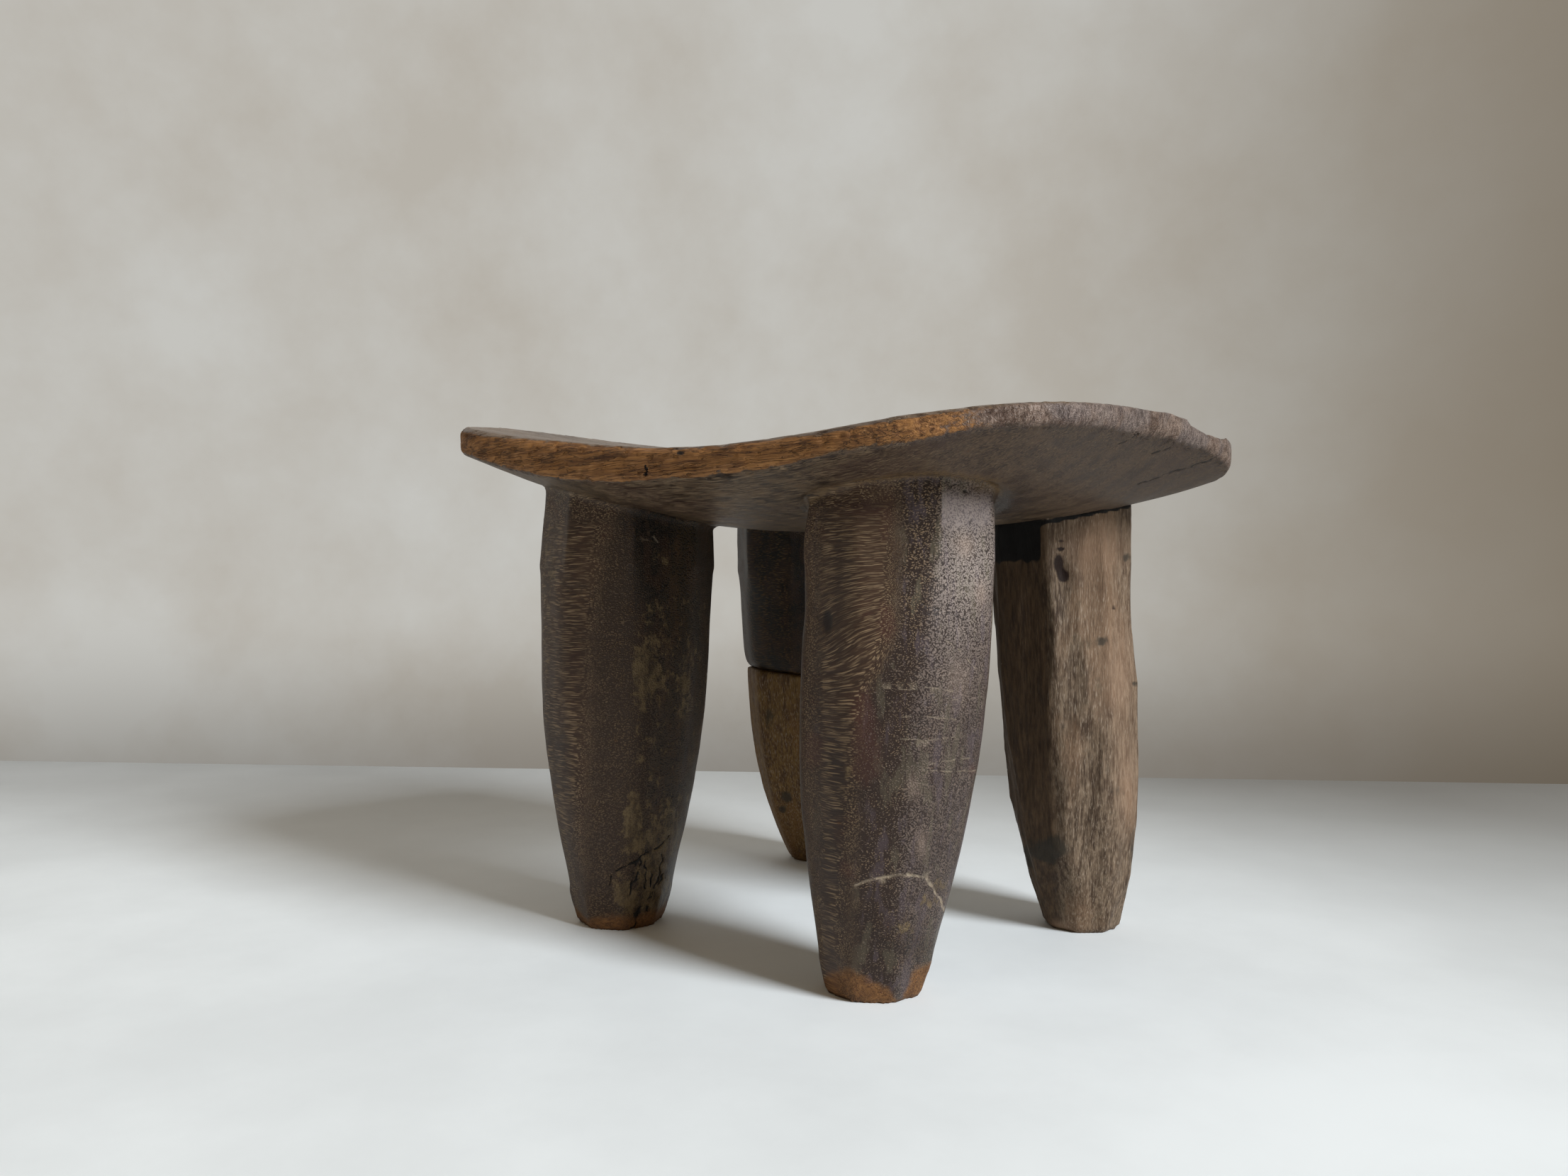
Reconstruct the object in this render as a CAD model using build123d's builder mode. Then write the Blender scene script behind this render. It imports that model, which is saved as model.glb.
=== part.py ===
from build123d import *
import os

# Four-legged stool carved from one log: the saddle seat, both front legs and the upper half of the
# rear left leg are one piece of wood. The rear right leg and the lower half of the rear left leg are
# old repairs, each tenoned into the carved block and held by a wedge hidden in the end of its tenon.
# The grain of the block runs along X. The front long side faces -Y, and the floor is Z = 0.

# Seat, in millimetres
seat_length = 484.0
seat_width = 344.0
seat_low_height = 295.0
left_end_rise = 46.0
right_end_rise = 15.5
belly_thickness = 45.0
rim_thickness = 20.0
plan_corner_radius = 105.0
long_side_bow = 7.0
short_side_bow = 6.0
rim_top_bevel = 4.0
rim_bottom_bevel = 2.5
corner_lift = 8.0

# Seat form: stations along the half length, with the depth of the belly and of the rim at each,
# and how far the rim's lower edge rises towards the two corners that are worn thin
low_point_share = 0.30
left_curve_power = 1.55
right_curve_power = 2.15
station_shares = (-1.04, -0.60, -0.15, 0.30, 0.70, 1.04)
belly_shares = (0.42, 0.92, 1.00, 0.83, 0.75, 0.31)
rim_shares = (0.80, 0.93, 0.98, 0.73, 0.54, 0.36)
front_lift_shares = (1.0, 0.25, 0.0, 0.0, 0.0, 0.0)
rear_lift_shares = (0.0, 0.0, 0.0, 0.0, 0.10, 0.50)
section_width_share = 1.02
hull_side_share = 0.60
hull_rise_share = 0.31

# Legs: largest radius of each, the heights of the four rings that shape it, and the seat wood
# left above the top ring
front_right_girth = 54.0
front_left_girth = 58.6
rear_right_girth = 49.0
rear_left_girth = 51.0
leg_cover = 6.0
ring_height_shares = (0.0, 1 / 3, 2 / 3, 1.0)
foot_chamfer = 2.0

# Adze facets round every leg: a polygon whose mean radius is the girth, turned to where the tool struck
facet_count = 8
facet_reach_share = 0.975

# Leg places as shares of half the seat's length and width, and the shape of each leg's profile
front_right_foot_shares = (0.456, -0.504)
front_right_top_shares = (0.516, -0.433)
front_right_profile_shares = (0.49, 0.88, 1.00, 0.85)
front_right_turn = 13.0
front_left_foot_shares = (-0.402, -0.537)
front_left_top_shares = (-0.433, -0.452)
front_left_profile_shares = (0.47, 0.85, 0.985, 0.90)
front_left_turn = 8.0
rear_right_foot_shares = (0.557, 0.601)
rear_right_top_shares = (0.503, 0.527)
rear_right_profile_shares = (0.49, 0.84, 0.90, 1.00)
rear_right_turn = 22.0
rear_left_foot_shares = (-0.496, 0.765)
rear_left_top_shares = (-0.431, 0.545)
rear_left_profile_shares = (0.38, 0.89, 1.00, 0.94)
rear_left_turn = 33.0

# Splice half way up the rear left leg: the new end is thinner than the stump and the cut is tilted
splice_height = 151.0
splice_tilt = 5.5
splice_heading = 42.0
stump_edge_round = 3.0
leg_end_step = 5.0
leg_end_profile_shares = (0.42, 0.98, 1.00, 0.96)

# Tenons and mortises
joint_gap = 0.3
upper_tenon_radius = 27.0
mortise_cover = 9.0
lower_tenon_radius = 20.0
lower_tenon_length = 44.0
tenon_end_chamfer = 1.5

# Hidden wedges, driven into a saw cut in the end of each tenon
wedge_thick_end = 6.0
wedge_thin_end = 1.6
upper_wedge_length = 15.0
lower_wedge_length = 32.0
wedge_width_share = 0.75
kerf_gap = 0.2
cut_overrun = 1.0

half_length = seat_length / 2
half_width = seat_width / 2
overall_height = seat_low_height + left_end_rise


def sitting_height(share):
    """Height of the sitting surface at a share of the half length: two curves from the low point."""
    away = share - low_point_share
    if away < 0:
        return seat_low_height + left_end_rise * (-away / (1 + low_point_share)) ** left_curve_power
    return seat_low_height + right_end_rise * (away / (1 - low_point_share)) ** right_curve_power


def place(shares):
    """A place on the plan from shares of the half length and half width."""
    return shares[0] * half_length, shares[1] * half_width


def between(start, end, share):
    """The point at a share of the way from one plan place to another."""
    return tuple(a + (b - a) * share for a, b in zip(start, end))


def leg_height(top, girth):
    """Height of a leg's top ring, inside the seat under the lowest sitting surface above it."""
    inner_share = (top[0] + girth) / half_length
    return sitting_height(min(inner_share, low_point_share)) - leg_cover


def hewn_ring(centre, height, radius, turn):
    """One cross section of a leg: a polygon of adze facets."""
    with BuildSketch(Plane.XY.offset(height)) as ring:
        with Locations(centre):
            RegularPolygon(radius / facet_reach_share, facet_count, rotation=turn)
    return ring.sketch


def hewn_rings(foot, top, girth, profile, turn):
    """The rings that a leg is lofted through, from the floor up into the seat."""
    height = leg_height(top, girth)
    return [
        hewn_ring(between(foot, top, rise), rise * height, girth * share, turn)
        for rise, share in zip(ring_height_shares, profile)
    ]


def wedge_outline(plane, length, gap=0.0):
    """Side view of a wedge driven into the end of a tenon, or of the saw cut that holds it."""
    with BuildSketch(plane) as outline:
        with BuildLine():
            Polyline(
                (-wedge_thick_end / 2 - gap, gap),
                (-wedge_thin_end / 2 - gap, -length - gap),
                (wedge_thin_end / 2 + gap, -length - gap),
                (wedge_thick_end / 2 + gap, gap),
                close=True,
            )
        make_face()
    return outline.sketch


# Seat: hull-shaped sections along the grain, trimmed to a rounded plan with bowed sides
with BuildPart() as seat:
    for station, belly, rim, front_lift, rear_lift in zip(
        station_shares, belly_shares, rim_shares, front_lift_shares, rear_lift_shares
    ):
        top_z = sitting_height(station)
        rim_z = top_z - rim_thickness * rim
        keel_z = top_z - belly_thickness * belly
        side_z = keel_z + (rim_z - keel_z) * hull_rise_share
        side_y = half_width * section_width_share
        with BuildSketch(Plane.YZ.offset(station * half_length)):
            with BuildLine():
                hull = Spline(
                    (-side_y, rim_z + corner_lift * front_lift),
                    (-side_y * hull_side_share, side_z),
                    (0, keel_z),
                    (side_y * hull_side_share, side_z),
                    (side_y, rim_z + corner_lift * rear_lift),
                )
                Polyline(hull @ 1, (side_y, top_z), (-side_y, top_z), hull @ 0)
            make_face()
    loft()
    with BuildSketch(Plane.XY) as plan:
        with BuildLine():
            corner_x = half_length - short_side_bow
            corner_y = half_width - long_side_bow
            ThreePointArc((-corner_x, -corner_y), (0, -half_width), (corner_x, -corner_y))
            ThreePointArc((corner_x, -corner_y), (half_length, 0), (corner_x, corner_y))
            ThreePointArc((corner_x, corner_y), (0, half_width), (-corner_x, corner_y))
            ThreePointArc((-corner_x, corner_y), (-half_length, 0), (-corner_x, -corner_y))
        make_face()
        fillet(plan.vertices(), plan_corner_radius)
    extrude(amount=overall_height + seat_length, mode=Mode.INTERSECT)
    broad_faces = seat.faces().sort_by(SortBy.AREA)[-2:].sort_by(Axis.Z)
    underside_edges = broad_faces[0].edges()
    sitting_edges = broad_faces[1].edges()
    chamfer(sitting_edges, rim_top_bevel)
    chamfer(underside_edges, rim_bottom_bevel)

# Front legs, whole, as they stand in the block
front_right_rings = hewn_rings(
    place(front_right_foot_shares),
    place(front_right_top_shares),
    front_right_girth,
    front_right_profile_shares,
    front_right_turn,
)
with BuildPart() as front_right_leg:
    loft(front_right_rings)
    chamfer(front_right_leg.faces().sort_by(Axis.Z)[0].edges(), foot_chamfer)

front_left_rings = hewn_rings(
    place(front_left_foot_shares),
    place(front_left_top_shares),
    front_left_girth,
    front_left_profile_shares,
    front_left_turn,
)
with BuildPart() as front_left_leg:
    loft(front_left_rings)
    chamfer(front_left_leg.faces().sort_by(Axis.Z)[0].edges(), foot_chamfer)

# Rear left leg: the splice is a tilted plane across it, with the stump above and the new end below
rear_left_foot = place(rear_left_foot_shares)
rear_left_top = place(rear_left_top_shares)
splice_share = splice_height / leg_height(rear_left_top, rear_left_girth)
splice_normal = Vector(0, 0, 1).rotate(Axis.Y, splice_tilt).rotate(Axis.Z, splice_heading)
splice_plane = Plane(
    origin=(*between(rear_left_foot, rear_left_top, splice_share), splice_height),
    z_dir=splice_normal,
)

stump_rings = hewn_rings(
    rear_left_foot, rear_left_top, rear_left_girth, rear_left_profile_shares, rear_left_turn
)
with BuildPart() as stump:
    loft(stump_rings)
    split(bisect_by=splice_plane, keep=Keep.TOP)
    fillet(stump.faces().sort_by(Axis.Z)[0].edges(), stump_edge_round)

# The carved block: seat, front legs and stump as one piece, with a mortise for each repair
rear_right_foot = place(rear_right_foot_shares)
rear_right_top = place(rear_right_top_shares)
mortise_top = seat_low_height - mortise_cover
upper_mortise_reach = belly_thickness + joint_gap

with BuildPart() as carved_body:
    add(seat.part)
    add(front_right_leg.part)
    add(front_left_leg.part)
    add(stump.part)
    with BuildSketch(Plane.XY.offset(mortise_top)):
        with Locations(rear_right_top):
            Circle(upper_tenon_radius + joint_gap)
    extrude(amount=-upper_mortise_reach, mode=Mode.SUBTRACT)
    with BuildSketch(splice_plane.offset(-cut_overrun)):
        Circle(lower_tenon_radius + joint_gap)
    extrude(amount=cut_overrun + lower_tenon_length + joint_gap, mode=Mode.SUBTRACT)
carved_body.part.label = "carved_body"

# Rear right leg: another timber, its shoulder scribed to the underside of the seat
tenon_top = mortise_top - joint_gap
upper_wedge_plane = Plane(origin=(*rear_right_top, tenon_top), x_dir=(1, 0, 0), z_dir=(0, -1, 0))

replacement_leg_rings = hewn_rings(
    rear_right_foot, rear_right_top, rear_right_girth, rear_right_profile_shares, rear_right_turn
)
with BuildPart() as replacement_leg:
    loft(replacement_leg_rings)
    chamfer(replacement_leg.faces().sort_by(Axis.Z)[0].edges(), foot_chamfer)
    add(seat.part.moved(Location((0, 0, -joint_gap))), mode=Mode.SUBTRACT)
    with BuildSketch(Plane.XY.offset(tenon_top)):
        with Locations(rear_right_top):
            Circle(upper_tenon_radius)
    extrude(amount=-upper_mortise_reach)
    chamfer(replacement_leg.faces().sort_by(Axis.Z)[-1].edges(), tenon_end_chamfer)
    extrude(
        wedge_outline(upper_wedge_plane, upper_wedge_length, kerf_gap),
        amount=upper_tenon_radius + cut_overrun,
        both=True,
        mode=Mode.SUBTRACT,
    )
replacement_leg.part.label = "replacement_leg"

with BuildPart() as replacement_leg_wedge:
    extrude(
        wedge_outline(upper_wedge_plane, upper_wedge_length),
        amount=upper_tenon_radius * wedge_width_share,
        both=True,
    )
replacement_leg_wedge.part.label = "replacement_leg_wedge"

# Rear left end: slimmer than the stump it was added to, tenoned up into it
lower_tenon_end = splice_plane.offset(lower_tenon_length)
lower_wedge_plane = Plane(
    origin=lower_tenon_end.origin,
    x_dir=splice_plane.x_dir,
    z_dir=splice_plane.x_dir.cross(splice_plane.z_dir),
)

leg_end_rings = hewn_rings(
    rear_left_foot,
    rear_left_top,
    rear_left_girth - leg_end_step,
    leg_end_profile_shares,
    rear_left_turn,
)
with BuildPart() as leg_end:
    loft(leg_end_rings)
    chamfer(leg_end.faces().sort_by(Axis.Z)[0].edges(), foot_chamfer)
    split(bisect_by=splice_plane.offset(-joint_gap), keep=Keep.BOTTOM)
    with BuildSketch(lower_tenon_end):
        Circle(lower_tenon_radius)
    extrude(amount=-lower_tenon_length - joint_gap - cut_overrun)
    chamfer(leg_end.faces().sort_by(Axis.Z)[-1].edges(), tenon_end_chamfer)
    extrude(
        wedge_outline(lower_wedge_plane, lower_wedge_length, kerf_gap),
        amount=lower_tenon_radius + cut_overrun,
        both=True,
        mode=Mode.SUBTRACT,
    )
leg_end.part.label = "leg_end"

with BuildPart() as leg_end_wedge:
    extrude(
        wedge_outline(lower_wedge_plane, lower_wedge_length),
        amount=lower_tenon_radius * wedge_width_share,
        both=True,
    )
leg_end_wedge.part.label = "leg_end_wedge"

# One file for each piece
os.makedirs("parts", exist_ok=True)
export_step(carved_body.part, "parts/carved_body.step")
export_step(replacement_leg.part, "parts/replacement_leg.step")
export_step(replacement_leg_wedge.part, "parts/replacement_leg_wedge.step")
export_step(leg_end.part, "parts/leg_end.step")
export_step(leg_end_wedge.part, "parts/leg_end_wedge.step")
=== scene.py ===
from math import cos, radians, sin

import bmesh
import bpy
import numpy as np
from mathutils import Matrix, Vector, noise
from mathutils.bvhtree import BVHTree


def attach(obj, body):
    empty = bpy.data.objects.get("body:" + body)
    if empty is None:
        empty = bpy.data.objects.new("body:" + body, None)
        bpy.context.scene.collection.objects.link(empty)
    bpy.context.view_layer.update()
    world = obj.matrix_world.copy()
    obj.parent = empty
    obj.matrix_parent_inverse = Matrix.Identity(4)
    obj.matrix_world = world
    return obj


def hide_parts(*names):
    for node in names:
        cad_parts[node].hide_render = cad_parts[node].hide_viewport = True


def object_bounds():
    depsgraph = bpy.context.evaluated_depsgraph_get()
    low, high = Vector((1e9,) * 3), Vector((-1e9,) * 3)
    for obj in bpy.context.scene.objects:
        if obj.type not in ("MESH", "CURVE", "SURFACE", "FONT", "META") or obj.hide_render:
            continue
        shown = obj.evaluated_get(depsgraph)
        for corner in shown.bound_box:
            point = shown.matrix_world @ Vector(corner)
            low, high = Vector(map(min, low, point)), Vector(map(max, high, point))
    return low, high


# The looks of a four-legged stool carved from one log, with two repaired legs: metres, floor at Z = 0.
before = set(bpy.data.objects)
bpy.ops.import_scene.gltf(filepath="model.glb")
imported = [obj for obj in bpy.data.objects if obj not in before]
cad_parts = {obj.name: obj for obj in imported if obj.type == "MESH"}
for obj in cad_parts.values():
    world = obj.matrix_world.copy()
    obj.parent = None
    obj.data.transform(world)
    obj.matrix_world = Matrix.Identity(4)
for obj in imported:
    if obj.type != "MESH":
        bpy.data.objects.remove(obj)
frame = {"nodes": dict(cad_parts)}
cad_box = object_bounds()
nodes = frame["nodes"]

# Camera, level, as the photograph was taken, and the pixels of the photograph's frame
photo_width = 2212
photo_height = 1659
focal_pixels = 1661
camera_place = Vector((0.5076, -0.6002, 0.2200))
camera_heading = radians(42.08)

# Seat plan, to tell the rim from the broad faces
half_length = cad_box[1][0]
half_width = cad_box[1][1]
plan_corner_radius = 0.105

# Sitting surface, as in the CAD
low_point_share = 0.30
seat_low_height = 0.295
left_end_rise = 0.046
right_end_rise = 0.0155
left_curve_power = 1.55
right_curve_power = 2.15

# Leg axes: where each foot stands, and the leg's place at the height of its top
leg_top_height = 0.289
legs = {
    "front right": ((0.1104, -0.0867), (0.1249, -0.0745)),
    "front left": ((-0.0973, -0.0924), (-0.1048, -0.0777)),
    "rear right": ((0.1348, 0.1034), (0.1217, 0.0906)),
    "rear left": ((-0.1200, 0.1316), (-0.1043, 0.0937)),
}

# Right end of the seat: how the real edge stands above or below the CAD edge, along the photograph
end_lift_pixels = (1540, 1590, 1650, 1675, 1678, 1700, 1724, 1729, 1740)
end_lift_heights = (0, 0.0015, 0.0030, 0.0028, 0.0002, -0.0022, -0.0026, 0.0, 0.0)

# Right end of the seat: how far its lower edge stands above the CAD edge, along the sum of X and Y
thin_edge_places = (
    0.006, 0.028, 0.050, 0.073, 0.134, 0.172, 0.201,
    0.234, 0.252, 0.270, 0.290, 0.311, 0.330,
)
thin_edge_lifts = (
    0, 0.0008, 0.0024, 0.0056, 0.0057, 0.0072, 0.0083,
    0.0093, 0.0090, 0.0078, 0.0064, 0.0031, 0,
)
thin_edge_depth = 0.016

# Hollow where the front right leg meets the seat: how much higher the seat's wood starts
hollow_pixels = (1130, 1165, 1210, 1260, 1310, 1331, 1385, 1404, 1430)
hollow_heights = (0.0005, 0.0027, 0.0027, 0.0047, 0.0064, 0.0060, 0.0062, 0.0043, 0.0010)
leg_top_swell = 0.0046

# The knot in the front right leg, and how far its fibres bend
knot_height = 0.200
knot_reach = 0.030
knot_x = 0.100
knot_slope = 0.42
natural_base = 2.718

# Lines and marks of the carved block, in pixels of the photograph
dark_cracks = (
    ((865, 1225), (862, 1250)), ((895, 1215), (890, 1255)), ((903, 1212), (898, 1240), (886, 1262)),
    ((920, 1222), (916, 1262), (912, 1290)), ((934, 1206), (930, 1236), (918, 1268)),
    ((912, 1200), (908, 1270), (897, 1300), (892, 1310)), ((935, 1230), (925, 1260)),
    ((945, 1180), (905, 1210), (880, 1222), (860, 1230)),
)
fine_dark_lines = (
    ((1570, 632), (1590, 622), (1606, 613)), ((1625, 641), (1654, 631)),
    ((1606, 683), (1650, 668), (1710, 649)), ((1300, 850), (1325, 860), (1365, 875)),
)
pale_scratches = (
    ((1335, 903), (1358, 920), (1385, 955)), ((1315, 915), (1340, 920)),
    ((1247, 972), (1290, 973), (1297, 969), (1320, 970), (1345, 975)), ((1334, 986), (1360, 988)),
    ((1266, 1012), (1310, 1011), (1350, 1015)), ((1270, 1043), (1310, 1044), (1350, 1040)),
    ((1310, 1079), (1340, 1073), (1370, 1070)), ((1310, 1087), (1350, 1089), (1385, 1086)),
    ((915, 750), (928, 765)), ((900, 761), (915, 762)),
)
junction_line = (
    (1141, 712), (1165, 695), (1210, 683), (1260, 676), (1310, 671),
    (1331, 672), (1385, 680), (1404, 688), (1411, 700),
)
facet_line = ((1329, 678), (1329, 742))
facet_right = 1398
pale_crack = (
    ((1207, 1250), (1222, 1243), (1235, 1240), (1265, 1235)),
    ((1265, 1235), (1290, 1235), (1305, 1237), (1311, 1243), (1315, 1250)),
    ((1315, 1250), (1320, 1262), (1328, 1268), (1333, 1285)),
)
rim_marks = (((909, 657), (909, 671)),)
block_knots = (
    (1167, 876, 8, 18, 1), (958, 638, 6, 4, 1), (909, 670, 4, 3, 0.8), (970, 668, 3, 3, 0.5),
    (1363, 693, 5, 4, 0.7),
)
tan_on_a = (
    (1325, 1250, 10, 16, 0.9), (1305, 1272, 14, 8, 0.9), (1275, 1315, 10, 14, 0.8),
    (1195, 1092, 8, 9, 0.8),
)
dark_on_a = (
    (1262, 800, 24, 70, 0.40), (1250, 960, 30, 70, 0.30), (1215, 712, 70, 14, 0.45),
    (1230, 1150, 40, 60, 0.20), (1300, 1340, 40, 30, 0.40), (1200, 1070, 50, 90, 0.30),
    (1240, 1310, 70, 50, 0.30),
)
red_on_a = (
    (1215, 715, 55, 16, 0.8), (1252, 745, 16, 30, 0.6), (1252, 880, 14, 40, 0.8),
    (1218, 1000, 18, 40, 0.8), (1147, 1056, 18, 34, 0.9), (1222, 1068, 26, 52, 0.9),
    (1192, 1225, 14, 22, 0.7), (1372, 1085, 10, 14, 0.6),
)
# Painted highlight: where the window's glint lies on leg A's lit end grain
painted_sheen_on_a = (
    (1368, 775, 52, 95, 1), (1340, 905, 40, 90, 0.30),
)
# Pale patches on leg A; the two at the top right are painted highlight
pale_patches_and_highlight_on_a = (
    (1362, 770, 12, 14, 1), (1385, 838, 7, 16, 0.9), (1352, 960, 16, 30, 0.4),
    (1288, 1110, 8, 16, 0.6), (1300, 1190, 7, 18, 0.6),
)
junction_shadow = ((1416, 714, 16, 22, 0.6),)
junction_dust = ((1392, 686, 24, 12, 0.8),)
tan_on_b = (
    (890, 1165, 15, 42, 1), (948, 1172, 10, 30, 0.8), (926, 1195, 12, 30, 0.6),
    (880, 1262, 20, 28, 0.9), (922, 1250, 18, 40, 0.9), (914, 950, 20, 44, 0.9),
    (896, 950, 5, 22, 0.7), (926, 855, 8, 12, 0.6), (965, 970, 7, 44, 0.6), (925, 785, 10, 10, 0.5),
    (940, 792, 8, 6, 0.5), (776, 800, 10, 60, 0.5),
)
dark_levels = (700, 800, 1000, 1120, 1300)
dark_start = (850, 872, 886, 880, 868)
dark_fade_levels = (940, 820)
few_tan_pixels = (880, 905)
few_tan_levels = (800, 860)
foot_edge_pixels = (1160, 1167, 1192, 1214, 1240, 1258, 1271, 1279, 1285, 1305)
foot_edge_levels = (1378, 1373, 1368, 1380, 1393, 1400, 1421, 1398, 1372, 1358)

# Where the dashes of the front legs give way to dots, and the dots to close crinkles, down each leg
turn_levels = (690, 780, 900, 950, 1000, 1240)
dots_on_a = (1268, 1273, 1262, 1240, 1216, 1204)
crinkles_on_a = (1327, 1318, 1300, 1288, 1278, 1262)
dots_on_b = (880, 850, 838, 836, 834, 826)
crinkles_on_b = (960, 940, 930, 930, 920, 900)

# Width in pixels of the hewn face at the left of each front leg
hewn_width = 120

# Marks of the replaced leg and of the spliced end
# Painted shade along the replaced leg's joint under the seat, as a line in pixels
joint_shade_line = ((1407, 750), (1594, 713))
black_patch_corner = (1468, 791)
leg_facet_levels = (740, 900, 1100, 1300)
leg_facet_pixels = (1476, 1480, 1486, 1496)
leg_dent = ((1499, 803, 8, 19, 1),)
dent_depth = 0.0030
leg_knots = (
    (1494, 794, 8, 13, 1), (1501, 813, 8, 9, 1), (1497, 762, 6, 2.5, 0.8), (1497, 774, 6, 2.5, 0.8),
    (1571, 857, 4, 4, 0.7),
)
leg_stains = (
    (1480, 1198, 24, 19, 1.3), (1600, 1200, 8, 34, 0.8), (1588, 786, 14, 8, 0.6),
    (1554, 905, 12, 9, 0.7), (1570, 1115, 18, 10, 0.5), (1446, 1215, 8, 20, 0.9),
    (1601, 965, 5, 5, 0.8), (1500, 1025, 6, 6, 0.5),
)
leg_warm = (
    (1545, 770, 45, 36, 1), (1580, 950, 22, 90, 0.8), (1590, 1110, 16, 60, 0.7),
    (1492, 1306, 12, 8, 1),
)
end_stains = (
    (1110, 1125, 8, 8, 1), (1103, 1142, 7, 6, 0.9), (1085, 1010, 9, 20, 0.5),
)

# Mesh sizes, the smoothed stretch of the shanks, sharp edges, and how repairs meet the block and floor
block_voxel = 0.0038
leg_voxel = 0.0020
shank_low = 0.028
shank_high = 0.225
shank_soft = 0.014
coarse_bend = radians(16)
fine_bend = radians(8)
sole_height = 0.0012
shoulder_fit = 0.0022

# How deep the block's marks are cut
crack_depth = 0.0008
fine_crack_depth = 0.0004
scratch_depth = 0.00020
chip_depth = 0.0005
nick_depth = 0.0010
knot_depth = 0.0013

# How far one seed of the noise lies from the next
ripple_shift = 17.31
scallop_shift = 9.17

# Rounds of smaller faces at the marks: pixels from a line, and the least of a knot's spot (the last has none)
mark_rounds = ((11, 0.02), (6, 0.10), (3.5, 9.0))

# Fibres, pores and skin cells of the dark wood
sway_reach = (0.0, 0.0012, 0.0036)
jitter_reach = (0.0, 0.0004, 0.0004)
warp_reach = (0.0030, 0.0030, 0.0030)
pore_size = (0.017, 0.0008, 0.0009)
fine_pore_size = (0.013, 0.0007, 0.0008)
thread_size = (0.012, 0.0008, 0.0009)
skin_cell_size = (0.0018, 0.00092, 0.00088)


def linear(red, green, blue):
    """A colour written in the usual 0 to 255, as the shader wants it."""
    levels = [value / 255 for value in (red, green, blue)]
    return tuple(v / 12.92 if v <= 0.04045 else ((v + 0.055) / 1.055) ** 2.4 for v in levels) + (1.0,)


right = Vector((cos(camera_heading), sin(camera_heading), 0))
ahead = Vector((-sin(camera_heading), cos(camera_heading), 0))
up = Vector((0, 0, 1))

# Floor and wall, and how they darken: a direction, where the shade starts and ends, and its depth
wall_left_distance = 1.500
wall_right_distance = 1.321
wall_left_span = 0.999
wall_right_span = 0.880
wall_height = 4.0
floor_reach = 6.0
wall_colour = linear(200, 196, 190)
floor_colour = linear(238, 243, 244)
shade_colour = (0.06, 0.04, 0.015, 1)
floor_shades = ((right + ahead * 0.5, 0.0, 0.95, 0.70), (ahead, -0.02, 0.62, 0.42))
wall_shades = ((right, -0.10, 0.95, 0.80), (-up, -0.27, 0.02, 0.42))

# Light: a tall window to the right of the camera, and the warm room
stool_middle = Vector((0, 0, 0.15))
window_way = Vector((0.83, 0.0, 0.56))
window_distance = 6.0
window_width = 1.6
window_height = 2.5
window_power = 440
window_colour = (0.955, 1.0, 1.05)
room_light = (1, 0.75, 0.48, 1)
room_strength = 0.20
sensor_width = 36


def vectors_of(mesh, name):
    """A vector at every vertex: its place, co, or its normal."""
    values = np.empty(len(mesh.vertices) * 3, np.float32)
    mesh.vertices.foreach_get(name, values)
    return values.reshape(-1, 3).astype(float)


def points_of(mesh):
    return vectors_of(mesh, "co")


def normals_of(mesh):
    return vectors_of(mesh, "normal")


def edges_of(mesh):
    pairs = np.empty(len(mesh.edges) * 2, np.int32)
    mesh.edges.foreach_get("vertices", pairs)
    return pairs.reshape(-1, 2)


def set_points(mesh, co):
    mesh.vertices.foreach_set("co", co.astype(np.float32).ravel())
    mesh.update()


def set_mask(mesh, name, values):
    """A number at every vertex, which the materials read by name."""
    mask = mesh.attributes.new(name, "FLOAT", "POINT")
    mask.data.foreach_set("value", values.astype(np.float32))


def smooth_step(low, high, values):
    t = np.clip((values - low) / (high - low), 0, 1)
    return t * t * (3 - 2 * t)


def ripple(co, size, seed):
    """Smooth noise from -1 to 1, with lumps of the given size along X, Y and Z."""
    places = co / np.array(size) + seed * ripple_shift
    return np.array([noise.noise(Vector(p)) for p in places])


def scallop(co, size, seed):
    """Shallow hollows with ridges between them, as an adze leaves: 0 in a hollow's middle, up to 1."""
    places = co / np.array(size) + seed * scallop_shift
    return np.array([noise.voronoi(Vector(p), distance_metric="DISTANCE_SQUARED")[0][0] for p in places])


def relaxed(co, edges, weight, rounds):
    """Points moved towards the mean of their neighbours, as long wear does."""
    count = len(co)
    a, b = edges[:, 0], edges[:, 1]
    degree = np.bincount(edges.ravel(), minlength=count)
    for _ in range(rounds):
        mean = np.stack(
            [
                (np.bincount(a, co[b, k], count) + np.bincount(b, co[a, k], count)) / degree
                for k in range(3)
            ],
            axis=1,
        )
        co = co + weight[:, None] * (mean - co)
    return co


def remeshed(name, node, voxel):
    """A new piece from a CAD node's shape, in even small faces."""
    source = nodes[node]
    piece = bpy.data.objects.new(name, source.data.copy())
    bpy.context.scene.collection.objects.link(piece)
    voxels = piece.modifiers.new("voxels", "REMESH")
    voxels.mode = "VOXEL"
    voxels.voxel_size = voxel
    depsgraph = bpy.context.evaluated_depsgraph_get()
    mesh = bpy.data.meshes.new_from_object(piece.evaluated_get(depsgraph))
    piece.modifiers.clear()
    piece.data = mesh
    mesh.materials.clear()
    mesh.polygons.foreach_set("use_smooth", np.ones(len(mesh.polygons), bool))
    return piece


def plan_depth(co):
    """How far a point lies inside the seat's plan."""
    reach = np.array([half_length, half_width]) - plan_corner_radius
    beyond = np.abs(co[:, :2]) - reach
    outside = np.linalg.norm(np.maximum(beyond, 0), axis=1)
    inside = np.minimum(beyond.max(axis=1), 0)
    return plan_corner_radius - outside - inside


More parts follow.
